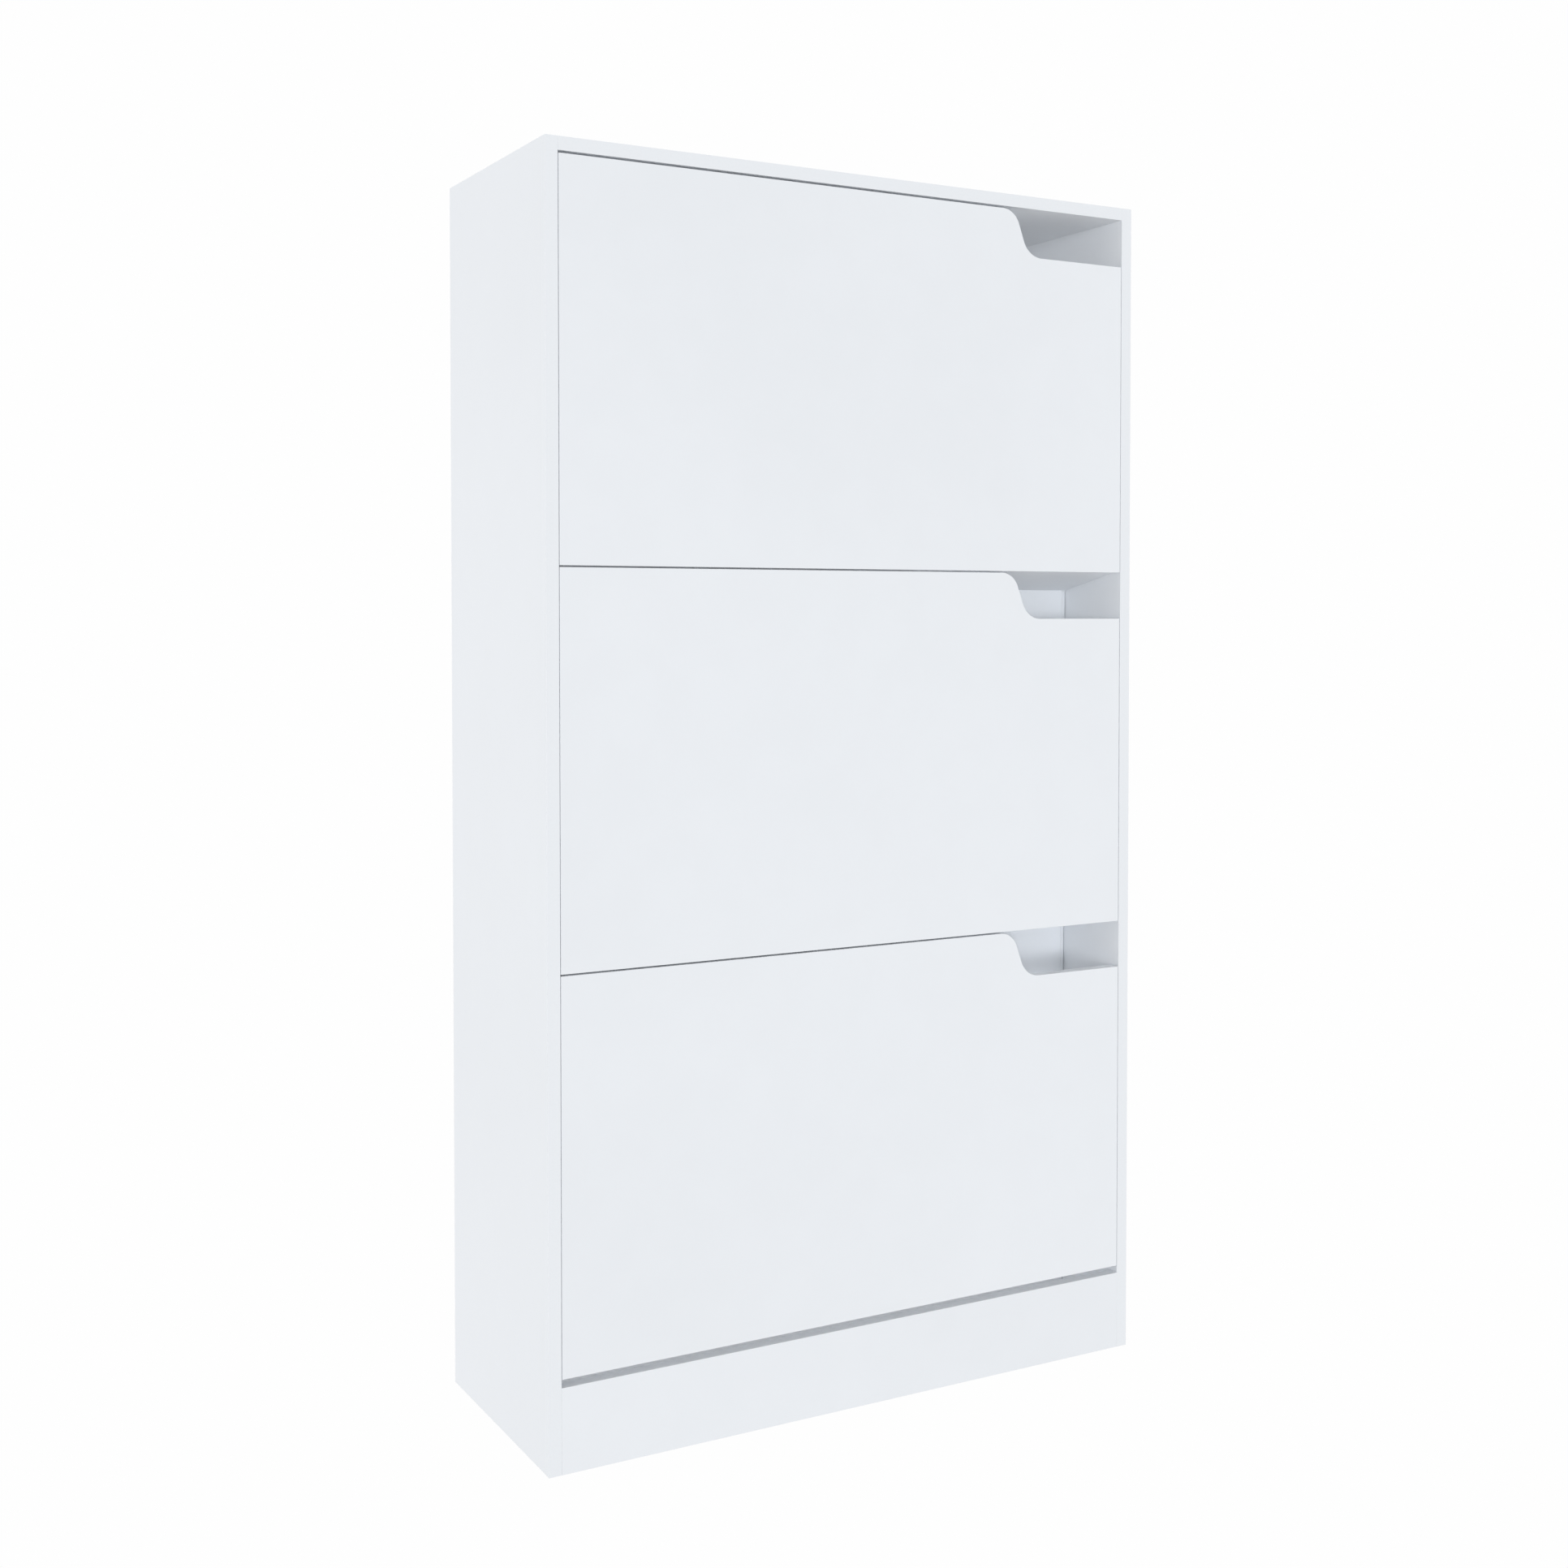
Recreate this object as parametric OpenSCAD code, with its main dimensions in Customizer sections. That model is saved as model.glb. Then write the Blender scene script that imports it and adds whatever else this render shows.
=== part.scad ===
// Three-flap shoe cabinet: a flat-pack carcass of thin boards with three inset
// tilt-out doors.  Each door carries a two-row bin and turns on pins in its own
// lower edge; an arc slot over a fixed peg limits how far it tilts.
// Millimetres.  +Z up, front at -Y, origin at the middle of the footprint.

/* [Cabinet] */
// Overall width over both side panels
cab_w = 630; // [600:5:680]
// Overall depth from the door fronts to the rear edges
cab_d = 240; // [238:1:250]
// Overall height
cab_h = 1150; // [1135:5:1180]
// Thickness of the carcass, door and bin boards
board_t = 12; // [11.5:0.5:12.5]
// Height of the front plinth
plinth_h = 76; // [74:1:80]

/* [Doors] */
// Gap between the plinth and the lowest door
plinth_gap = 7.2; // [6:0.1:9]
// Gap between one door and the next
door_gap = 1.5; // [1.4:0.1:3]
// Gap between the top door and the top panel
top_gap = 2.1; // [1.8:0.1:4]
// Gap beside each door
side_gap = 0.6; // [0.5:0.1:1.2]

/* [Hand notch] */
// Width of the notch at the top edge of a door
notch_w = 144.2; // [120.2:0.2:170]
// Depth of the notch
notch_d = 44.7; // [42:0.1:48]
// Radius where the notch leaves the top edge
notch_r_top = 20; // [16:1:22]
// Radius where the notch meets its flat bottom
notch_r_low = 22; // [18:1:22]
// Lean of the short straight run between the two radii, from vertical
notch_lean = 20; // [16:1:24]

/* [Bins] */
// Clear depth of the front row, door back to divider
front_row = 78; // [74:1:80]
// Clear depth of the rear row, divider to bin back
rear_row = 102; // [94:1:103]
// Drop of the sloping front floor over its depth
front_drop = 17; // [14:1:20]
// How far the divider hangs below the bottom edge of its door
step_drop = 70; // [64:1:72]
// Height of the divider above the bottom edge of its door
divider_h = 130; // [100:5:150]
// Height of the bin back above the bottom edge of its door
bin_back_h = 150; // [120:5:160]
// Thickness of a moulded bracket
bracket_t = 4; // [3.5:0.1:4]
// Gap between a bracket and the side panel
bracket_gap = 0.6; // [0.5:0.1:1.5]

/* [Tilt] */
// Height of the pivot above the bottom edge of its door
pivot_up = 20; // [18:1:24]
// Largest tilt of a door, which is the length of the arc slot
tilt_max = 50; // [40:1:50]
// Radius of the arc slot about the pivot
slot_r = 110; // [104:1:112]

/* [Back] */
// Thickness of the back sheets and the bin backs
sheet_t = 2.5; // [2.5:0.1:3]
// Height of the joint between the two back sheets
joint_z = 590; // [570:5:610]

/* [Hidden] */
$fn = 64;
e = 0.01;
lap = 0.02;                 // lets an arc cross the line it runs into, not just touch it
hw = cab_w / 2;             // outer faces of the side panels
iw = hw - board_t;          // inner faces of the side panels
yo = -cab_d / 2;            // row-frame y of the front plane
door_z0 = plinth_h + plinth_gap;
pitch = (cab_h - board_t - top_gap - door_z0 + door_gap) / 3;
door_h = pitch - door_gap;
door_hw = iw - side_gap;
bx = iw - bracket_gap;      // outer face of a bracket
bi = bx - bracket_t;        // inner face of a bracket, end of the bin boards
div_y = board_t + front_row;
rear_y0 = div_y + board_t;
rear_y1 = rear_y0 + rear_row;
piv_y = board_t / 2;
slot_a1 = 62;               // peg direction about the pivot, door shut
slot_w = 8.6;
peg_r = 4;
peg_y = piv_y + slot_r * cos(slot_a1);
peg_z = pivot_up + slot_r * sin(slot_a1);
rebate_w = 6;
rebate_d = 3.6;
sheet_y0 = cab_d - rebate_d;
rail_h = 60;
low_rail_h = 45;
rail_y0 = sheet_y0 - board_t;
flange_w = 15;
flange_t = 3;
flange_z0 = 30;
flange_z1 = 196;
cam_in = 24;                // cam centre from the end of its board
cam_r = 7.5;
cam_h = 9.8;
white = [0.915, 0.930, 0.950];
core = [0.86, 0.87, 0.88];
sheet = [0.55, 0.41, 0.28];
steel = [0.70, 0.71, 0.72];
zinc = [0.62, 0.63, 0.65];
beech = [0.78, 0.62, 0.42];
clear_white = [0.88, 0.89, 0.90];

function zb(i) = door_z0 + i * pitch;
function arc(c, r, a0, a1, n = 6) =
    [for (k = [0:n]) let (a = a0 + (a1 - a0) * k / n) [c[0] + r * cos(a), c[1] + r * sin(a)]];

// Cam stations: [depth, height, way the cam faces (0 down, 1 back, 2 front)]
cams = [
    [cab_d - 46, cab_h - board_t, 0],
    [board_t, plinth_h - 26, 1],
    [rail_y0, low_rail_h - 18, 2],
    [rail_y0, cab_h - board_t - rail_h / 2 + 8, 2],
];
// Dowel stations: [depth, height] of the dowel axis
dowels = [
    [40, cab_h - board_t / 2],
    [120, cab_h - board_t / 2],
    [board_t / 2, 18],
    [rail_y0 + board_t / 2, 10],
    [rail_y0 + board_t / 2, cab_h - board_t - rail_h + 14],
];
nail_zs = [40, 180, 320, 460, 700, 840, 980, 1110];
nail_xs = [-225, -75, 75, 225];

// ---- helpers -------------------------------------------------------------
module row() translate([0, yo, 0]) children();
module along_x(x0, x1) translate([x0, 0, 0]) rotate([90, 0, 90]) linear_extrude(height = x1 - x0) children();
module slab(x0, x1, y0, y1, z0, z1) translate([x0, y0, z0]) cube([x1 - x0, y1 - y0, z1 - z0]);
module rod_x(x0, x1, y, z, r) translate([x0, y, z]) rotate([0, 90, 0]) cylinder(h = x1 - x0, r = r);
module rod_y(x, y0, y1, z, r) translate([x, y1, z]) rotate([90, 0, 0]) cylinder(h = y1 - y0, r = r);
module both() { children(); mirror([1, 0, 0]) children(); }

// axis depth and height of the bolt that a cam station pulls on
function cam_y(c) = c[2] == 0 ? c[0] : c[2] == 1 ? c[0] - board_t / 2 : c[0] + board_t / 2;
function cam_z(c) = c[2] == 0 ? c[1] + board_t / 2 : c[1];

// cylinder sunk into a board from the face that the cam faces
module cam_plug(c, r, h) {
    if (c[2] == 0) translate([iw - cam_in, c[0], c[1]]) cylinder(h = h, r = r);
    if (c[2] == 1) rod_y(iw - cam_in, c[0] - h, c[0], c[1], r);
    if (c[2] == 2) rod_y(iw - cam_in, c[0], c[0] + h, c[1], r);
}
// holes that the fittings need in a board that ends at the side panels
module board_end_holes() {
    both() {
        for (c = cams) {
            cam_plug(c, cam_r + 0.05, cam_h + 0.2);
            rod_x(iw - cam_in, iw + e, cam_y(c), cam_z(c), 3.55);
        }
        for (d = dowels) rod_x(iw - 21.5, iw + e, d[0], d[1], 3.05);
    }
}
// holes in the right-hand side panel, all from its inner face
module side_holes() {
    for (c = cams) rod_x(iw - e, iw + 9, cam_y(c), cam_z(c), 2.55);
    for (d = dowels) rod_x(iw - e, iw + 9.5, d[0], d[1], 3.05);
    for (i = [0:2]) {
        rod_x(iw - e, iw + 9, piv_y, zb(i) + pivot_up, 4.03);
        rod_x(iw - e, iw + 8.5, peg_y, zb(i) + peg_z, 2.55);
    }
    for (z = nail_zs) rod_y(iw + rebate_w / 2, sheet_y0 - 16.6, sheet_y0 + e, z, 0.8);
}
module side_right_shape() {
    difference() {
        slab(iw, hw, 0, cab_d, 0, cab_h);
        slab(iw - 1, iw + rebate_w, sheet_y0, cab_d + 1, -1, cab_h - board_t + rebate_w);
        side_holes();
    }
}

// ---- carcass ---------------------------------------------------------------
module side_right() color(white) row() side_right_shape();
module side_left() color(white) row() mirror([1, 0, 0]) side_right_shape();

module top_panel() color(white) row()
    difference() {
        slab(-iw, iw, 0, cab_d, cab_h - board_t, cab_h);
        slab(-iw - 1, iw + 1, sheet_y0, cab_d + 1, cab_h - board_t - 1, cab_h - board_t + rebate_w);
        board_end_holes();
        for (x = nail_xs) rod_y(x, sheet_y0 - 16.6, sheet_y0 + e, cab_h - board_t + rebate_w / 2, 0.8);
    }

module plinth_front() color(white) row()
    difference() {
        slab(-iw, iw, 0, board_t, 0, plinth_h);
        board_end_holes();
    }

module rail_bottom_rear() color(white) row()
    difference() {
        slab(-iw, iw, rail_y0, sheet_y0, 0, low_rail_h);
        board_end_holes();
        for (x = nail_xs) rod_y(x, rail_y0 - 1, sheet_y0 + e, 30, 0.8);
    }

// stiffener under the top panel; its two holes take the wall screws
module rail_top_rear() color(white) row()
    difference() {
        slab(-iw, iw, rail_y0, sheet_y0, cab_h - board_t - rail_h, cab_h - board_t);
        board_end_holes();
        for (s = [-1, 1]) rod_y(s * 200, rail_y0 - 1, sheet_y0 + 1, cab_h - board_t - rail_h / 2, 3);
    }

module back_sheet(z0, z1, nail_row_z) {
    difference() {
        slab(-iw - rebate_w + 0.3, iw + rebate_w - 0.3, sheet_y0, sheet_y0 + sheet_t, z0, z1);
        both() for (z = nail_zs) rod_y(iw + rebate_w / 2, sheet_y0 - 1, sheet_y0 + sheet_t + 1, z, 0.8);
        for (x = nail_xs) rod_y(x, sheet_y0 - 1, sheet_y0 + sheet_t + 1, nail_row_z, 0.8);
        for (s = [-1, 1]) rod_y(s * 200, sheet_y0 - 1, sheet_y0 + sheet_t + 1, cab_h - board_t - rail_h / 2, 3);
    }
}
module back_sheet_lower() color(sheet) row() back_sheet(3, joint_z - 0.6, 30);
module back_sheet_upper() color(sheet) row()
    back_sheet(joint_z + 0.6, cab_h - board_t + rebate_w - 0.3, cab_h - board_t + rebate_w / 2);

// H-section strip that joins the two back sheets
module back_joint_strip() color(clear_white) row()
    along_x(-iw + 0.5, iw - 0.5) union() {
        translate([sheet_y0 - 1, joint_z - 9]) square([0.95, 18]);
        translate([sheet_y0 + sheet_t + 0.05, joint_z - 9]) square([0.9, 18]);
        translate([sheet_y0 - 1, joint_z - 0.5]) square([sheet_t + 1.95, 1]);
    }

// ---- carcass fittings ------------------------------------------------------
module cam_locks() color(zinc) row() both()
    for (c = cams) difference() {
        cam_plug(c, cam_r, cam_h);
        // pocket for the bolt head, open toward the side panel
        rod_x(iw - cam_in - 3.2, iw, cam_y(c), cam_z(c), 3.55);
        // cross recess in the visible face
        if (c[2] == 0) for (a = [0, 90]) translate([iw - cam_in, c[0], c[1]]) rotate([0, 0, a]) cube([8, 1.4, 2.4], center = true);
        if (c[2] != 0) for (a = [0, 90]) translate([iw - cam_in, c[0], c[1]]) rotate([0, a, 0]) cube([8, 2.4, 1.4], center = true);
    }

module cam_bolts() color(steel) row() both()
    for (c = cams) union() {
        rod_x(iw - cam_in + 0.5, iw + 8.6, cam_y(c), cam_z(c), 2.5);
        rod_x(iw - cam_in - 2.6, iw - cam_in + 0.5, cam_y(c), cam_z(c), 3.4);
        rod_x(iw - 0.7, iw - 0.1, cam_y(c), cam_z(c), 3.4);
    }

module wood_dowels() color(beech) row() both()
    for (d = dowels) rod_x(iw - 21, iw + 9, d[0], d[1], 3);

module nail(x, z) { rod_y(x, sheet_y0 - 16, sheet_y0 + sheet_t + 0.1, z, 0.75); rod_y(x, sheet_y0 + sheet_t + 0.05, sheet_y0 + sheet_t + 0.8, z, 1.9); }
module back_nails() color(steel) row() {
    both() for (z = nail_zs) nail(iw + rebate_w / 2, z);
    for (x = nail_xs) {
        nail(x, cab_h - board_t + rebate_w / 2);
        // the rear rail is thinner than the nail is long, so these are shorter
        rod_y(x, rail_y0 + 1, sheet_y0 + sheet_t + 0.1, 30, 0.75);
        rod_y(x, sheet_y0 + sheet_t + 0.05, sheet_y0 + sheet_t + 0.8, 30, 1.9);
    }
}

module pivot_bushings() color(clear_white) row() both()
    for (i = [0:2]) difference() {
        rod_x(iw, iw + 8.8, piv_y, zb(i) + pivot_up, 4);
        rod_x(iw - 1, iw + 7.8, piv_y, zb(i) + pivot_up, 2.55);
    }

module stop_pegs() color(clear_white) row() both()
    for (i = [0:2]) union() {
        rod_x(bi + 0.5, iw, peg_y, zb(i) + peg_z, peg_r);
        rod_x(iw - e, iw + 8.2, peg_y, zb(i) + peg_z, 2.5);
    }

// ---- one flap; i counts from the bottom ------------------------------------
module at_flap(i) row() translate([0, 0, zb(i)]) children();

// outline of the notch to be cut away, in the plane of the door
module notch_2d() {
    sx = door_hw - notch_w;
    la = notch_lean;
    run = (notch_d - (notch_r_top + notch_r_low) * (1 - sin(la))) / cos(la);
    t1 = [sx + notch_r_top * cos(la), door_h - notch_r_top * (1 - sin(la))];
    t2 = [t1[0] + run * sin(la), t1[1] - run * cos(la)];
    cx = t2[0] + notch_r_low * cos(la);
    union() {
        difference() {
            polygon([[sx, door_h], t1, t2, [cx, door_h - notch_d], [door_hw + 2, door_h - notch_d], [door_hw + 2, door_h + 2], [sx, door_h + 2]]);
            translate([sx, door_h - notch_r_top]) circle(r = notch_r_top + lap);
        }
        translate([cx, door_h - notch_d + notch_r_low]) circle(r = notch_r_low + lap);
    }
}
flange_screw_zs = [45, 112, 180];
module flange_screw_holes(r, y0, y1) both()
    for (z = flange_screw_zs) rod_y(bi - flange_w / 2, y0, y1, z, r);

module door(i) color(white) at_flap(i)
    difference() {
        translate([0, board_t, 0]) rotate([90, 0, 0]) linear_extrude(height = board_t)
            difference() {
                translate([-door_hw, 0]) square([2 * door_hw, door_h]);
                notch_2d();
            }
        both() rod_x(door_hw - 20.5, door_hw + 1, piv_y, pivot_up, 2.52);
        flange_screw_holes(1.8, 2.5, board_t + 1);
    }

// end screws that hold the bin boards between the brackets: [depth, height]
function end_screws() = [
    [34, -front_drop * (34 - board_t) / front_row + board_t / 2],
    [70, -front_drop * (70 - board_t) / front_row + board_t / 2],
    [div_y + board_t / 2, -step_drop + 30],
    [div_y + board_t / 2, 22],
    [div_y + board_t / 2, divider_h - 16],
    [rear_y0 + 30, -step_drop + board_t / 2],
    [rear_y1 - 28, -step_drop + board_t / 2],
];
module end_screw_holes(r) both() for (s = end_screws()) rod_x(bi - 26.4, bi + e, s[0], s[1], r);

module front_floor(i) color(white) at_flap(i)
    difference() {
        along_x(-bi, bi) polygon([[board_t, 0], [div_y, -front_drop], [div_y, -front_drop + board_t * 1.02], [board_t, board_t * 1.02]]);
        end_screw_holes(1.8);
    }

module divider(i) color(white) at_flap(i)
    difference() {
        slab(-bi, bi, div_y, div_y + board_t, -step_drop, divider_h);
        end_screw_holes(1.8);
    }

bin_nail_xs = [-250, -125, 0, 125, 250];
module rear_floor(i) color(white) at_flap(i)
    difference() {
        slab(-bi, bi, rear_y0, rear_y1, -step_drop, -step_drop + board_t);
        end_screw_holes(1.8);
        for (x = bin_nail_xs) rod_y(x, rear_y1 - 14.5, rear_y1 + e, -step_drop + board_t / 2, 0.8);
    }

module bin_back(i) color(sheet) at_flap(i)
    difference() {
        slab(-bi - bracket_t, bi + bracket_t, rear_y1, rear_y1 + sheet_t, -step_drop, bin_back_h);
        for (x = bin_nail_xs) rod_y(x, rear_y1 - 1, rear_y1 + sheet_t + 1, -step_drop + board_t / 2, 0.8);
        both() for (z = [-20, 50, 120]) rod_y(bi + bracket_t / 2, rear_y1 - 1, rear_y1 + sheet_t + 1, z, 0.8);
    }

module bin_back_nails(i) color(steel) at_flap(i) {
    for (x = bin_nail_xs) union() {
        rod_y(x, rear_y1 - 14, rear_y1 + sheet_t + 0.1, -step_drop + board_t / 2, 0.75);
        rod_y(x, rear_y1 + sheet_t + 0.05, rear_y1 + sheet_t + 0.8, -step_drop + board_t / 2, 1.9);
    }
    both() for (z = [-20, 50, 120]) union() {
        rod_y(bi + bracket_t / 2, rear_y1 - 8, rear_y1 + sheet_t + 0.1, z, 0.75);
        rod_y(bi + bracket_t / 2, rear_y1 + sheet_t + 0.05, rear_y1 + sheet_t + 0.8, z, 1.9);
    }
}

// side outline of a bracket: depth across, height up
module bracket_2d() {
    k = 14;
    step_r = 4;
    slope = atan(front_drop / front_row);
    difference() {
        polygon(concat(
            [[board_t, 0]],
            arc([div_y - step_r, -front_drop * (front_row - step_r) / front_row - step_r / cos(slope)], step_r, 90 - slope, 0),
            [[div_y, -step_drop]],
            [[rear_y1, -step_drop]],
            arc([rear_y1 - k, bin_back_h - k], k, 0, 70),
            arc([board_t + 10, flange_z1 + 2], 8, 80, 90, 2),
            [[board_t, flange_z1 + 10]]
        ));
        translate([piv_y, pivot_up]) union() {
            intersection() {
                difference() { circle(r = slot_r + slot_w / 2, $fn = 180); circle(r = slot_r - slot_w / 2, $fn = 180); }
                polygon([[0, 0], 2 * slot_r * [cos(slot_a1 - tilt_max), sin(slot_a1 - tilt_max)],
                    2 * slot_r * [cos(slot_a1 - tilt_max / 2), sin(slot_a1 - tilt_max / 2)],
                    2 * slot_r * [cos(slot_a1), sin(slot_a1)]]);
            }
            for (a = [slot_a1 - tilt_max, slot_a1]) rotate(a) translate([slot_r, 0]) circle(r = slot_w / 2);
        }
    }
}
module bracket_shape() {
    difference() {
        union() {
            along_x(bi, bx) bracket_2d();
            slab(bi - flange_w, bi + e, board_t, board_t + flange_t, flange_z0, flange_z1);
        }
        for (z = flange_screw_zs) rod_y(bi - flange_w / 2, board_t - 1, board_t + flange_t + 1, z, 2.1);
        for (s = end_screws()) {
            rod_x(bi - 1, bx + 1, s[0], s[1], 2.1);
            translate([bx - 2.2, s[0], s[1]]) rotate([0, 90, 0]) cylinder(h = 2.3, r1 = 2.1, r2 = 4.2);
        }
        for (z = [-20, 50, 120]) rod_y(bi + bracket_t / 2, rear_y1 - 8.5, rear_y1 + 1, z, 0.8);
    }
}
module bracket_right(i) color(clear_white) at_flap(i) bracket_shape();
module bracket_left(i) color(clear_white) at_flap(i) mirror([1, 0, 0]) bracket_shape();

module bracket_screws(i) color(steel) at_flap(i) both() {
    for (z = flange_screw_zs) difference() {
        union() {
            rod_y(bi - flange_w / 2, 3, board_t + flange_t + 0.5, z, 1.75);
            translate([bi - flange_w / 2, board_t + flange_t + 0.05, z]) rotate([-90, 0, 0]) cylinder(h = 2, r1 = 3.6, r2 = 2.6);
        }
        for (a = [0, 90]) translate([bi - flange_w / 2, board_t + flange_t + 2, z]) rotate([0, a, 0]) cube([3.6, 2, 0.9], center = true);
    }
    for (s = end_screws()) difference() {
        union() {
            rod_x(bi - 26, bx - 1, s[0], s[1], 1.75);
            translate([bx - 2.1, s[0], s[1]]) rotate([0, 90, 0]) cylinder(h = 2, r1 = 1.95, r2 = 3.9);
        }
        for (a = [0, 90]) translate([bx, s[0], s[1]]) rotate([a, 0, 0]) cube([2.2, 3.6, 0.9], center = true);
    }
}

module pivot_pins(i) color(steel) at_flap(i) both()
    rod_x(door_hw - 20, iw + 7, piv_y, pivot_up, 2.5);

// ---- nodes -----------------------------------------------------------------
module door_bottom() door(0);
module door_middle() door(1);
module door_top() door(2);
module front_floor_bottom() front_floor(0);
module front_floor_middle() front_floor(1);
module front_floor_top() front_floor(2);
module divider_bottom() divider(0);
module divider_middle() divider(1);
module divider_top() divider(2);
module rear_floor_bottom() rear_floor(0);
module rear_floor_middle() rear_floor(1);
module rear_floor_top() rear_floor(2);
module bin_back_bottom() bin_back(0);
module bin_back_middle() bin_back(1);
module bin_back_top() bin_back(2);
module bracket_left_bottom() bracket_left(0);
module bracket_left_middle() bracket_left(1);
module bracket_left_top() bracket_left(2);
module bracket_right_bottom() bracket_right(0);
module bracket_right_middle() bracket_right(1);
module bracket_right_top() bracket_right(2);
module bracket_screws_bottom() bracket_screws(0);
module bracket_screws_middle() bracket_screws(1);
module bracket_screws_top() bracket_screws(2);
module bin_nails_bottom() bin_back_nails(0);
module bin_nails_middle() bin_back_nails(1);
module bin_nails_top() bin_back_nails(2);
module pivot_pins_bottom() pivot_pins(0);
module pivot_pins_middle() pivot_pins(1);
module pivot_pins_top() pivot_pins(2);

side_left();
side_right();
top_panel();
plinth_front();
rail_bottom_rear();
rail_top_rear();
back_sheet_lower();
back_sheet_upper();
back_joint_strip();
cam_locks();
cam_bolts();
wood_dowels();
back_nails();
pivot_bushings();
stop_pegs();
door_bottom();
front_floor_bottom();
divider_bottom();
rear_floor_bottom();
bin_back_bottom();
bracket_left_bottom();
bracket_right_bottom();
bracket_screws_bottom();
bin_nails_bottom();
pivot_pins_bottom();
door_middle();
front_floor_middle();
divider_middle();
rear_floor_middle();
bin_back_middle();
bracket_left_middle();
bracket_right_middle();
bracket_screws_middle();
bin_nails_middle();
pivot_pins_middle();
door_top();
front_floor_top();
divider_top();
rear_floor_top();
bin_back_top();
bracket_left_top();
bracket_right_top();
bracket_screws_top();
bin_nails_top();
pivot_pins_top();
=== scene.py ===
import math

import bpy
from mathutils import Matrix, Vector


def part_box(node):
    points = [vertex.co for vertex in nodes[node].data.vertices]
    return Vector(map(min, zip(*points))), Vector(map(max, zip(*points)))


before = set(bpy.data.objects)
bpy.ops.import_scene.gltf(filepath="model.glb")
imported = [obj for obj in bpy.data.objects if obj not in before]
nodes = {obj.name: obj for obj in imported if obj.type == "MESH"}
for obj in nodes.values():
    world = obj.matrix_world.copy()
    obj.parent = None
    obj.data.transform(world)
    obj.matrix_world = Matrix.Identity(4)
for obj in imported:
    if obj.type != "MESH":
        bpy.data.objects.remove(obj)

scene = bpy.context.scene
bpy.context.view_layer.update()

ROWS = ("bottom", "middle", "top")
DOOR = {k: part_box("door_" + k) for k in ROWS}
PITCH = DOOR["middle"][0].z - DOOR["bottom"][0].z
DOOR_Z0 = DOOR["bottom"][0].z
DOOR_H = DOOR["bottom"][1].z - DOOR["bottom"][0].z


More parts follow.
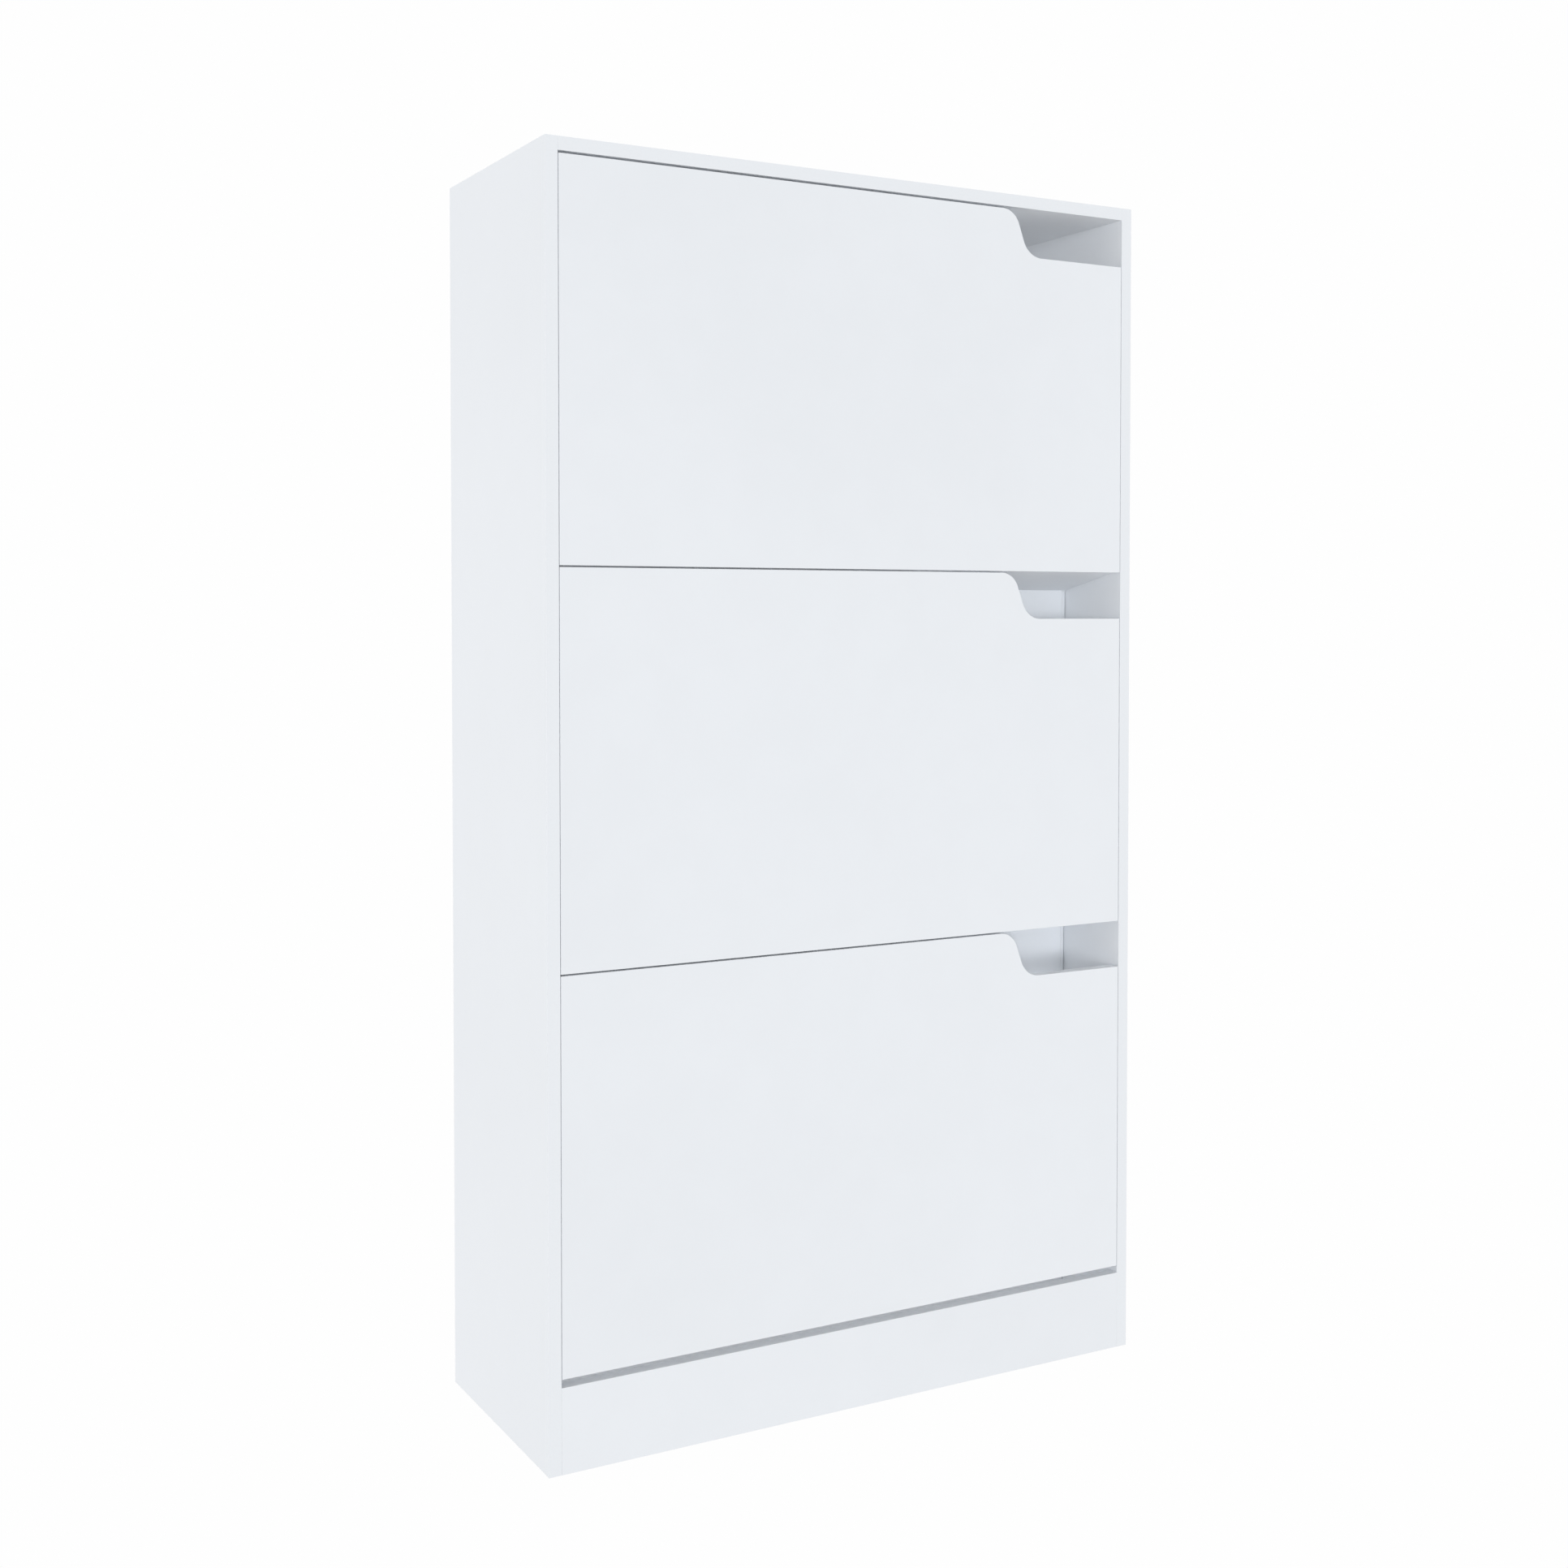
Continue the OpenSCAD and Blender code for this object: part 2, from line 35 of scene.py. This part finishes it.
# ---------------------------------------------------------------------------
# node helpers
# ---------------------------------------------------------------------------
class Net:
    """A short way to build a material's node tree."""

    def __init__(self, name):
        self.mat = bpy.data.materials.new(name)
        self.mat.use_nodes = True
        self.tree = self.mat.node_tree
        self.tree.nodes.clear()
        self.out = self.tree.nodes.new("ShaderNodeOutputMaterial")
        self.coord = self.tree.nodes.new("ShaderNodeTexCoord")

    def node(self, kind, **values):
        n = self.tree.nodes.new(kind)
        for k, v in values.items():
            setattr(n, k, v)
        return n

    def link(self, a, b):
        self.tree.links.new(a, b)

    def put(self, socket, value):
        if isinstance(value, bpy.types.NodeSocket):
            self.link(value, socket)
        else:
            socket.default_value = value

    def math(self, op, a, b=0.0, c=None, clamp=False):
        n = self.node("ShaderNodeMath", operation=op, use_clamp=clamp)
        self.put(n.inputs[0], a)
        self.put(n.inputs[1], b)
        if c is not None:
            self.put(n.inputs[2], c)
        return n.outputs[0]

    def remap(self, value, lo, hi, to_lo=0.0, to_hi=1.0, smooth=True):
        n = self.node("ShaderNodeMapRange", interpolation_type="SMOOTHSTEP" if smooth else "LINEAR")
        self.put(n.inputs["Value"], value)
        for k, v in (("From Min", lo), ("From Max", hi), ("To Min", to_lo), ("To Max", to_hi)):
            self.put(n.inputs[k], v)
        return n.outputs["Result"]

    def mix(self, factor, a, b, blend="MIX"):
        n = self.node("ShaderNodeMix", data_type="RGBA", blend_type=blend)
        self.put(n.inputs[0], factor)
        self.put(n.inputs[6], a)
        self.put(n.inputs[7], b)
        return n.outputs[2]

    def vec(self, scale=(1, 1, 1), offset=(0, 0, 0)):
        n = self.node("ShaderNodeMapping")
        self.link(self.coord.outputs["Object"], n.inputs["Vector"])
        n.inputs["Scale"].default_value = scale
        n.inputs["Location"].default_value = offset
        return n.outputs["Vector"]

    def noise(self, vector, scale, detail=2.0, rough=0.5, distort=0.0):
        n = self.node("ShaderNodeTexNoise", noise_dimensions="3D")
        self.put(n.inputs["Vector"], vector)
        n.inputs["Scale"].default_value = scale
        n.inputs["Detail"].default_value = detail
        n.inputs["Roughness"].default_value = rough
        n.inputs["Distortion"].default_value = distort
        return n.outputs["Fac"]

    def xyz(self, vector):
        n = self.node("ShaderNodeSeparateXYZ")
        self.link(vector, n.inputs[0])
        return n.outputs

    def bump(self, height, distance, strength=1.0, normal=None):
        n = self.node("ShaderNodeBump")
        n.inputs["Distance"].default_value = distance
        n.inputs["Strength"].default_value = strength
        self.put(n.inputs["Height"], height)
        if normal is not None:
            self.link(normal, n.inputs["Normal"])
        return n.outputs["Normal"]

    def edge_mask(self, radius):
        """1 on the outer few tenths of a millimetre beside an edge, 0 elsewhere."""
        b = self.node("ShaderNodeBevel", samples=6)
        b.inputs["Radius"].default_value = radius
        g = self.node("ShaderNodeNewGeometry")
        d = self.node("ShaderNodeVectorMath", operation="DOT_PRODUCT")
        self.link(b.outputs[0], d.inputs[0])
        self.link(g.outputs["Normal"], d.inputs[1])
        return self.remap(d.outputs["Value"], 0.995, 0.90, 0.0, 1.0)

    def finish(self, colour, roughness, normal, metallic=0.0, ior=1.5, coat=0.0, coat_rough=0.3):
        p = self.node("ShaderNodeBsdfPrincipled")
        self.put(p.inputs["Base Color"], colour)
        self.put(p.inputs["Roughness"], roughness)
        if normal is not None:
            self.link(normal, p.inputs["Normal"])
        p.inputs["Metallic"].default_value = metallic
        p.inputs["IOR"].default_value = ior
        p.inputs["Coat Weight"].default_value = coat
        p.inputs["Coat Roughness"].default_value = coat_rough
        self.link(p.outputs[0], self.out.inputs["Surface"])
        return self.mat


WHITE = (0.862, 0.879, 0.902, 1.0)


def white_board(name, thin, seed, raw_rear=False, raw_bottom=False, front_only=False):
    """White melamine-faced board. thin is the axis that it is thin along, 0, 1 or 2: its narrow faces carry
    an edge band, or show the raw particle core at the rear and underside, where a flat-pack board isn't banded."""
    m = Net(name)
    obj = m.coord.outputs["Object"]
    shift = m.vec(offset=(seed * 1.37, seed * 0.71, seed * 2.13))
    normal = m.xyz(m.coord.outputs["Normal"])
    narrow = m.remap(m.math("ABSOLUTE", normal[thin]), 0.70, 0.60)

    # face: slow tone drift from the press plates, and the fine pearl of the paper
    drift = m.noise(shift, 2.2, 3.0, 0.5, 0.3)
    cloud = m.noise(shift, 26.0, 3.0, 0.55)
    pearl = m.noise(shift, 900.0, 2.0, 0.6)
    tone = m.math("ADD", m.remap(drift, 0.3, 0.7, -0.010, 0.010), m.remap(cloud, 0.3, 0.7, -0.004, 0.004))
    tone = m.math("ADD", tone, m.remap(pearl, 0.25, 0.75, -0.004, 0.004))
    value = m.node("ShaderNodeHueSaturation")
    m.put(value.inputs["Color"], WHITE)
    m.put(value.inputs["Value"], m.math("ADD", tone, 1.0))
    face = value.outputs[0]

    # edge band: a hair warmer and smoother, with the knife's faint chatter along it
    chatter = m.noise(m.vec(scale=(60, 60, 60), offset=(seed, 0, 0)), 9.0, 2.0, 0.6)
    band = m.mix(m.remap(chatter, 0.35, 0.65), (0.857, 0.875, 0.897, 1), (0.866, 0.883, 0.904, 1))
    colour = m.mix(narrow, face, band)

    # edges: the corner radius is scraped, so it is a little greyer in a broken line
    edge = m.edge_mask(0.0009)
    broken = m.remap(m.noise(shift, 46.0, 4.0, 0.7), 0.40, 0.62)
    worn = m.math("MULTIPLY", edge, m.math("MULTIPLY_ADD", broken, 0.55, 0.25))
    colour = m.mix(m.math("MULTIPLY", worn, 0.16), colour, (0.60, 0.60, 0.60, 1))

    rough_face = m.math("ADD", m.remap(cloud, 0.3, 0.7, 0.36, 0.43), m.remap(pearl, 0.3, 0.7, -0.02, 0.03))
    # light handling marks in the area that a hand reaches for, beside each notch
    x, y, z = m.xyz(obj)
    local = m.math("MODULO", m.math("SUBTRACT", z, DOOR_Z0 - PITCH), PITCH)
    near_z = m.remap(m.math("ABSOLUTE", m.math("SUBTRACT", local, DOOR_H - 0.055)), 0.075, 0.02)
    near_x = m.remap(m.math("ABSOLUTE", m.math("SUBTRACT", x, 0.205)), 0.13, 0.04)
    smear = m.remap(m.noise(m.vec(scale=(1.0, 1.0, 2.6), offset=(seed, 3, 1)), 34.0, 3.0, 0.6, 0.8), 0.48, 0.66)
    hand = m.math("MULTIPLY", m.math("MULTIPLY", near_z, near_x), smear)
    rough = m.math("ADD", rough_face, m.math("MULTIPLY", hand, -0.07))
    rough = m.math("ADD", rough, m.math("MULTIPLY", narrow, -0.04))
    rough = m.math("ADD", rough, m.math("MULTIPLY", worn, 0.18))

    # relief: soft orange peel with a finer grain on it
    peel = m.noise(shift, 210.0, 1.0, 0.4)
    height = m.math("ADD", m.math("MULTIPLY", peel, 0.8), m.math("MULTIPLY", pearl, 0.35))
    relief = m.math("ADD", height, m.math("MULTIPLY", m.math("MULTIPLY", chatter, narrow), 0.6))

    if raw_rear or raw_bottom:
        raw = None
        if raw_rear:
            raw = m.remap(normal[1], 0.7, 0.8)
        if raw_bottom:
            under = m.remap(normal[2], -0.7, -0.8)
            raw = under if raw is None else m.math("MAXIMUM", raw, under)
        raw = m.math("MULTIPLY", raw, narrow)
        chips = m.node("ShaderNodeTexVoronoi", feature="F1")
        m.put(chips.inputs["Vector"], m.vec(scale=(1.0, 1.0, 1.0), offset=(seed, seed, 0)))
        chips.inputs["Scale"].default_value = 520.0
        chips.inputs["Randomness"].default_value = 1.0
        chip_tone = m.xyz(chips.outputs["Color"])[0]
        speck = m.noise(shift, 1400.0, 3.0, 0.7)
        core = m.mix(chip_tone, (0.42, 0.29, 0.17, 1), (0.68, 0.54, 0.37, 1))
        core = m.mix(m.remap(speck, 0.58, 0.72, 0.0, 0.65), core, (0.20, 0.13, 0.08, 1))
        colour = m.mix(raw, colour, core)
        rough = m.math("ADD", m.math("MULTIPLY", rough, m.math("SUBTRACT", 1.0, raw)), m.math("MULTIPLY", raw, 0.86))
        rough_core = m.math("ADD", chips.outputs["Distance"], speck)
        relief = m.math("ADD", relief, m.math("MULTIPLY", m.math("MULTIPLY", rough_core, raw), 14.0))

    return m.finish(colour, rough, m.bump(relief, 0.000012))


def hardboard(seed):
    """Thin fibre sheet: white lacquer on the front, brown pressed fibre with a faint screen print behind."""
    m = Net("hardboard")
    normal = m.xyz(m.coord.outputs["Normal"])
    shift = m.vec(offset=(seed, seed, seed))
    inner = m.remap(normal[1], -0.75, -0.85)
    fibre = m.noise(m.vec(scale=(1, 1, 1.4)), 420.0, 5.0, 0.72, 0.6)
    blotch = m.noise(shift, 11.0, 4.0, 0.6, 0.4)
    brown = m.mix(m.remap(fibre, 0.3, 0.7), (0.215, 0.125, 0.062, 1), (0.36, 0.225, 0.125, 1))
    brown = m.mix(m.remap(blotch, 0.35, 0.68, 0.0, 0.45), brown, (0.42, 0.28, 0.165, 1))
    hair = m.noise(m.vec(scale=(6, 1, 0.7), offset=(4, 0, 2)), 260.0, 3.0, 0.6, 1.5)
    brown = m.mix(m.remap(hair, 0.64, 0.74, 0.0, 0.4), brown, (0.52, 0.37, 0.23, 1))
    mottle = m.noise(shift, 60.0, 3.0, 0.6)
    lacquer = m.mix(m.remap(mottle, 0.3, 0.7), (0.84, 0.845, 0.85, 1), (0.875, 0.88, 0.885, 1))
    colour = m.mix(inner, brown, lacquer)
    rough = m.mix(inner, (0.78, 0.78, 0.78, 1), (0.42, 0.42, 0.42, 1))
    rough = m.math("ADD", m.xyz(rough)[0], m.remap(fibre, 0.3, 0.7, -0.05, 0.07))
    wx = m.node("ShaderNodeTexWave", wave_type="BANDS", bands_direction="X")
    wz = m.node("ShaderNodeTexWave", wave_type="BANDS", bands_direction="Z")
    for w in (wx, wz):
        m.put(w.inputs["Vector"], m.coord.outputs["Object"])
        w.inputs["Scale"].default_value = 120.0
        w.inputs["Distortion"].default_value = 0.6
        w.inputs["Detail"].default_value = 1.0
    screen = m.math("MULTIPLY", m.math("MULTIPLY", wx.outputs["Fac"], wz.outputs["Fac"]), m.math("SUBTRACT", 1.0, inner))
    relief = m.math("ADD", m.math("MULTIPLY", screen, 1.0), m.math("MULTIPLY", fibre, 0.9))
    relief = m.math("MULTIPLY", relief, m.math("SUBTRACT", 1.0, m.math("MULTIPLY", inner, 0.8)))
    return m.finish(colour, rough, m.bump(relief, 0.00010))


def moulded_plastic():
    m = Net("white_plastic")
    shift = m.vec(offset=(0.3, 0.2, 0.1))
    flow = m.noise(m.vec(scale=(1, 1, 3)), 9.0, 3.0, 0.5, 1.2)
    spark = m.noise(shift, 1500.0, 2.0, 0.6)
    tone = m.remap(flow, 0.3, 0.7, -0.018, 0.018)
    value = m.node("ShaderNodeHueSaturation")
    m.put(value.inputs["Color"], (0.856, 0.873, 0.895, 1))
    m.put(value.inputs["Value"], m.math("ADD", tone, m.remap(spark, 0.3, 0.7, 0.985, 1.015)))
    edge = m.edge_mask(0.0007)
    colour = m.mix(m.math("MULTIPLY", edge, 0.25), value.outputs[0], (0.90, 0.91, 0.92, 1))
    rough = m.math("ADD", m.remap(flow, 0.3, 0.7, 0.30, 0.42), m.remap(spark, 0.3, 0.7, -0.03, 0.05))
    return m.finish(colour, rough, m.bump(m.math("ADD", spark, m.math("MULTIPLY", flow, 2.0)), 0.00002))


def plated(name, base, tint, rough_lo, rough_hi, grain, depth):
    """Plated or cast metal: cloudy passivation, fine grain, brighter scuffed edges."""
    m = Net(name)
    shift = m.vec(offset=(1.1, 0.4, 0.9))
    cloud = m.noise(shift, 160.0, 4.0, 0.6, 0.5)
    fine = m.noise(shift, grain, 3.0, 0.6)
    colour = m.mix(m.remap(cloud, 0.35, 0.65), base, tint)
    edge = m.edge_mask(0.0004)
    colour = m.mix(m.math("MULTIPLY", edge, 0.5), colour, (0.86, 0.86, 0.86, 1))
    rough = m.math("ADD", m.remap(cloud, 0.3, 0.7, rough_lo, rough_hi), m.remap(fine, 0.3, 0.7, -0.04, 0.04))
    return m.finish(colour, rough, m.bump(fine, depth), metallic=1.0)


def beech_wood():
    m = Net("beech")
    grain = m.noise(m.vec(scale=(9, 160, 160)), 12.0, 4.0, 0.6, 0.4)
    fleck = m.noise(m.vec(scale=(30, 420, 420), offset=(2, 1, 5)), 10.0, 2.0, 0.6)
    colour = m.mix(m.remap(grain, 0.3, 0.7), (0.56, 0.37, 0.20, 1), (0.72, 0.53, 0.33, 1))
    colour = m.mix(m.remap(fleck, 0.6, 0.72, 0.0, 0.5), colour, (0.40, 0.24, 0.12, 1))
    x, y, z = m.xyz(m.coord.outputs["Object"])
    rough = m.remap(grain, 0.3, 0.7, 0.55, 0.72)
    return m.finish(colour, rough, m.bump(m.math("ADD", grain, fleck), 0.00006))


# ---------------------------------------------------------------------------
# mesh finish: welded seams, a small true radius on the long edges
# ---------------------------------------------------------------------------
def edge_group(name, shortest):
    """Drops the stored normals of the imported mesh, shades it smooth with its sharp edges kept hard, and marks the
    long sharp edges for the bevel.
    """
    g = bpy.data.node_groups.new(name, "GeometryNodeTree")
    g.interface.new_socket("Geometry", in_out="INPUT", socket_type="NodeSocketGeometry")
    g.interface.new_socket("Geometry", in_out="OUTPUT", socket_type="NodeSocketGeometry")
    n = g.nodes
    gi, go = n.new("NodeGroupInput"), n.new("NodeGroupOutput")
    angle = n.new("GeometryNodeInputMeshEdgeAngle")
    ends = n.new("GeometryNodeInputMeshEdgeVertices")
    span = n.new("ShaderNodeVectorMath"); span.operation = "DISTANCE"
    g.links.new(ends.outputs["Position 1"], span.inputs[0])
    g.links.new(ends.outputs["Position 2"], span.inputs[1])
    is_sharp = n.new("FunctionNodeCompare"); is_sharp.data_type = "FLOAT"; is_sharp.operation = "GREATER_THAN"
    g.links.new(angle.outputs["Unsigned Angle"], is_sharp.inputs[0])
    is_sharp.inputs[1].default_value = math.radians(28)
    is_long = n.new("FunctionNodeCompare"); is_long.data_type = "FLOAT"; is_long.operation = "GREATER_THAN"
    g.links.new(span.outputs["Value"], is_long.inputs[0])
    is_long.inputs[1].default_value = shortest
    both = n.new("FunctionNodeBooleanMath"); both.operation = "AND"
    g.links.new(is_sharp.outputs[0], both.inputs[0])
    g.links.new(is_long.outputs[0], both.inputs[1])
    drop = n.new("GeometryNodeRemoveAttribute")
    drop.inputs["Name"].default_value = "custom_normal"
    smooth = n.new("GeometryNodeSetShadeSmooth"); smooth.domain = "FACE"
    smooth.inputs["Shade Smooth"].default_value = True
    crease = n.new("GeometryNodeSetShadeSmooth"); crease.domain = "EDGE"
    # smooth edges are those that aren't sharp
    flat = n.new("FunctionNodeBooleanMath"); flat.operation = "NOT"
    g.links.new(is_sharp.outputs[0], flat.inputs[0])
    g.links.new(flat.outputs[0], crease.inputs["Shade Smooth"])
    store = n.new("GeometryNodeStoreNamedAttribute"); store.data_type = "FLOAT"; store.domain = "EDGE"
    store.inputs["Name"].default_value = "bevel_weight_edge"
    g.links.new(both.outputs[0], store.inputs["Value"])
    g.links.new(gi.outputs[0], drop.inputs["Geometry"])
    g.links.new(drop.outputs["Geometry"], smooth.inputs["Geometry"])
    g.links.new(smooth.outputs["Geometry"], crease.inputs["Geometry"])
    g.links.new(crease.outputs["Geometry"], store.inputs["Geometry"])
    g.links.new(store.outputs["Geometry"], go.inputs[0])
    return g


BOARD_EDGES = edge_group("board_edges", 0.0016)


def soften(obj, width, segments=2, tidy=False):
    weld = obj.modifiers.new("weld", "WELD")
    weld.merge_threshold = 0.000008
    plane = obj.modifiers.new("plane", "DECIMATE")
    plane.decimate_type = "DISSOLVE"
    plane.angle_limit = math.radians(0.4)
    mark = obj.modifiers.new("mark", "NODES")
    mark.node_group = BOARD_EDGES
    bevel = obj.modifiers.new("radius", "BEVEL")
    bevel.limit_method = "WEIGHT"
    bevel.width = width
    bevel.segments = segments
    bevel.use_clamp_overlap = False
    bevel.harden_normals = True
    bevel.miter_outer = "MITER_SHARP"
    if tidy:
        # where the long edge is nearly straight, the bevel leaves points on top of each other
        close = obj.modifiers.new("tidy", "WELD")
        close.merge_threshold = 0.000004


def paint(obj, material):
    if not obj.material_slots:
        obj.data.materials.append(material)
    for s in obj.material_slots:
        s.link = "OBJECT"
        s.material = material


# ---------------------------------------------------------------------------
# materials on the nodes
# ---------------------------------------------------------------------------
side_mat = white_board("melamine_side", 0, 1.0, raw_rear=True, raw_bottom=True)
top_mat = white_board("melamine_top", 2, 2.0, raw_rear=True)
front_mat = white_board("melamine_door", 1, 3.0)
upright_mat = white_board("melamine_upright", 1, 4.0, raw_bottom=True)
flat_mat = white_board("melamine_shelf", 2, 5.0)
hardboard_mat = hardboard(6.0)
plastic_mat = moulded_plastic()
steel_mat = plated("steel", (0.56, 0.57, 0.58, 1), (0.64, 0.64, 0.62, 1), 0.26, 0.40, 2600.0, 0.000010)
zinc_mat = plated("zinc", (0.46, 0.47, 0.49, 1), (0.55, 0.56, 0.57, 1), 0.40, 0.55, 1800.0, 0.000030)
beech_mat = beech_wood()

for name, obj in nodes.items():
    if name.startswith("side_"):
        paint(obj, side_mat); soften(obj, 0.00018)
    elif name == "top_panel":
        paint(obj, top_mat); soften(obj, 0.00018)
    elif name.startswith("door_"):
        paint(obj, front_mat); soften(obj, 0.00030)
    elif name.startswith(("plinth_", "rail_")):
        paint(obj, upright_mat); soften(obj, 0.00018)
    elif name.startswith("divider_"):
        paint(obj, front_mat); soften(obj, 0.00030)
    elif name.startswith(("front_floor_", "rear_floor_")):
        paint(obj, flat_mat); soften(obj, 0.00030)
    elif name.startswith(("back_sheet_", "bin_back_")):
        paint(obj, hardboard_mat)
    elif name.startswith(("bracket_left_", "bracket_right_")):
        paint(obj, plastic_mat); soften(obj, 0.00050, tidy=True)
    elif name in ("back_joint_strip", "pivot_bushings", "stop_pegs"):
        paint(obj, plastic_mat)
    elif name == "cam_locks":
        paint(obj, zinc_mat)
    elif name == "wood_dowels":
        paint(obj, beech_mat)
    else:
        paint(obj, steel_mat)

# ---------------------------------------------------------------------------
# stage: floor, light, camera
# ---------------------------------------------------------------------------
SKY = 0.992
# the floor's glow under the cabinet: a painted shadow level
PAINTED_SHADOW_LEVEL = 0.42
AMBIENT = 0.02
LAMP_TINT = (0.935, 0.969, 1.008)
floor_mesh = bpy.data.meshes.new("floor")
ring = [(90 * math.cos(a * math.pi / 48), 90 * math.sin(a * math.pi / 48), 0.0) for a in range(96)]
floor_mesh.from_pydata(ring, [], [list(range(96))])
floor = bpy.data.objects.new("floor", floor_mesh)
scene.collection.objects.link(floor)
floor.location.z = -0.0004
# lit paper: it glows evenly, as a lit studio floor does, and much less where the cabinet stands over it, a painted
# shadow under the cabinet
fm = Net("floor_paper")
fx, fy, fz = fm.xyz(fm.coord.outputs["Object"])
# the cabinet's footprint, where the floor's glow is cut down to a painted shadow
under = fm.math("MULTIPLY", fm.math("LESS_THAN", fm.math("ABSOLUTE", fx), 0.309), fm.math("LESS_THAN", fm.math("ABSOLUTE", fy), 0.114))
glow = fm.node("ShaderNodeEmission")
glow.inputs["Color"].default_value = (1, 1, 1, 1)
fm.put(glow.inputs["Strength"], fm.math("MULTIPLY_ADD", under, PAINTED_SHADOW_LEVEL - SKY, SKY))
fm.link(glow.outputs[0], fm.out.inputs["Surface"])
fm.mat.cycles.emission_sampling = "NONE"
floor_mesh.materials.append(fm.mat)
floor.visible_diffuse = False
floor.visible_shadow = False

world = bpy.data.worlds.new("studio")
scene.world = world
world.use_nodes = True
wt = world.node_tree
wt.nodes.clear()
w_out = wt.nodes.new("ShaderNodeOutputWorld")
w_mix = wt.nodes.new("ShaderNodeMixShader")
w_path = wt.nodes.new("ShaderNodeLightPath")
w_light = wt.nodes.new("ShaderNodeBackground")
w_seen = wt.nodes.new("ShaderNodeBackground")
w_light.name = "ambient"
w_light.inputs["Color"].default_value = LAMP_TINT + (1,)
w_light.inputs["Strength"].default_value = AMBIENT
w_seen.inputs["Color"].default_value = (1, 1, 1, 1)
w_seen.inputs["Strength"].default_value = SKY
w_open = wt.nodes.new("ShaderNodeMath")
w_open.operation = "MAXIMUM"
wt.links.new(w_path.outputs["Is Camera Ray"], w_open.inputs[0])
wt.links.new(w_path.outputs["Is Glossy Ray"], w_open.inputs[1])
wt.links.new(w_open.outputs[0], w_mix.inputs[0])
world.cycles.sampling_method = "NONE"
wt.links.new(w_light.outputs[0], w_mix.inputs[1])
wt.links.new(w_seen.outputs[0], w_mix.inputs[2])
wt.links.new(w_mix.outputs[0], w_out.inputs["Surface"])

# soft banks round the cabinet: azimuth and elevation in degrees (0 is the front, -90 its left), width, level
BANKS = (
    ("bank_key", -30, 0, 12, 0.27),
    ("bank_front", 0, 0, 12, 0.115),
    ("bank_left", -100, 0, 36, 0.195),
    ("bank_right", 98, 6, 36, 0.20),
    ("bank_rear", 160, 12, 30, 0.36),
    ("bank_top", 150, 76, 36, 0.30),
)
for name, az, el, width, level in BANKS:
    data = bpy.data.lights.new(name, "SUN")
    data.color = LAMP_TINT
    data.angle = math.radians(width)
    data.energy = level * math.pi
    lamp = bpy.data.objects.new(name, data)
    scene.collection.objects.link(lamp)
    a, e = math.radians(az), math.radians(el)
    toward = Vector((math.sin(a) * math.cos(e), -math.cos(a) * math.cos(e), math.sin(e)))
    lamp.rotation_euler = toward.to_track_quat("Z", "Y").to_euler()
    lamp.location = toward * 4.0 + Vector((0, 0, 0.575))
    # the banks behind only fill: mirrored along a side panel they would wash it out
    lamp.visible_glossy = name not in ("bank_rear", "bank_top")

# the even light of the white surround, with a short reach, so that it fills the hollows and leaves narrow gaps dark
scene.cycles.use_fast_gi = True
scene.cycles.fast_gi_method = "ADD"
world.light_settings.ao_factor = 0.585
world.light_settings.distance = 0.40

# a small soft fill behind each notch, for the corners that the banks can't reach
FILLS = (
    ("fill_top", DOOR["top"], 0.046, 0.085, 0.014),
    ("fill_middle", DOOR["middle"], 0.110, 0.090, 0.034),
    ("fill_bottom", DOOR["bottom"], 0.110, 0.090, 0.034),
)
for name, (low, high), behind, below, power in FILLS:
    data = bpy.data.lights.new(name, "AREA")
    data.color = LAMP_TINT
    data.shape = "DISK"
    data.size = 0.05
    data.energy = power
    lamp = bpy.data.objects.new(name, data)
    scene.collection.objects.link(lamp)
    lamp.location = (high.x - 0.150, low.y + behind, high.z - below)
    lamp.rotation_euler = Vector((0.28, 0.0, 1.0)).to_track_quat("-Z", "Y").to_euler()
    lamp.visible_camera = False

# a narrow strip behind the lowest door, for the hanging board just under the notch's edge, which the door shades
strip = bpy.data.lights.new("fill_board", "AREA")
strip.color = LAMP_TINT
strip.shape = "RECTANGLE"
strip.size, strip.size_y = 0.13, 0.012
strip.spread = math.radians(60)
strip.energy = 0.0055
strip_obj = bpy.data.objects.new("fill_board", strip)
scene.collection.objects.link(strip_obj)
strip_obj.location = (DOOR["bottom"][1].x - 0.070, DOOR["bottom"][0].y + 0.020, DOOR["bottom"][1].z - 0.088)
strip_obj.rotation_euler = Vector((0.0, 1.0, 0.22)).to_track_quat("-Z", "Y").to_euler()
strip_obj.visible_camera = False
scene.cycles.diffuse_bounces = 8

scene.view_settings.view_transform = "Standard"
scene.view_settings.look = "None"
scene.view_settings.exposure = 0.0
scene.view_settings.gamma = 1.0

cam_data = bpy.data.cameras.new("camera")
cam_data.sensor_width = 36.0
cam_data.lens = 44.343
cam_data.shift_x = 0.0
cam_data.shift_y = -0.0741
cam_data.clip_start = 0.05
cam_data.clip_end = 300.0
cam = bpy.data.objects.new("camera", cam_data)
scene.collection.objects.link(cam)
cam.location = Vector((-0.93562, -1.65543, 0.74364))
cam.rotation_euler = (math.radians(88.428), 0.0, math.radians(-29.028))
scene.camera = cam
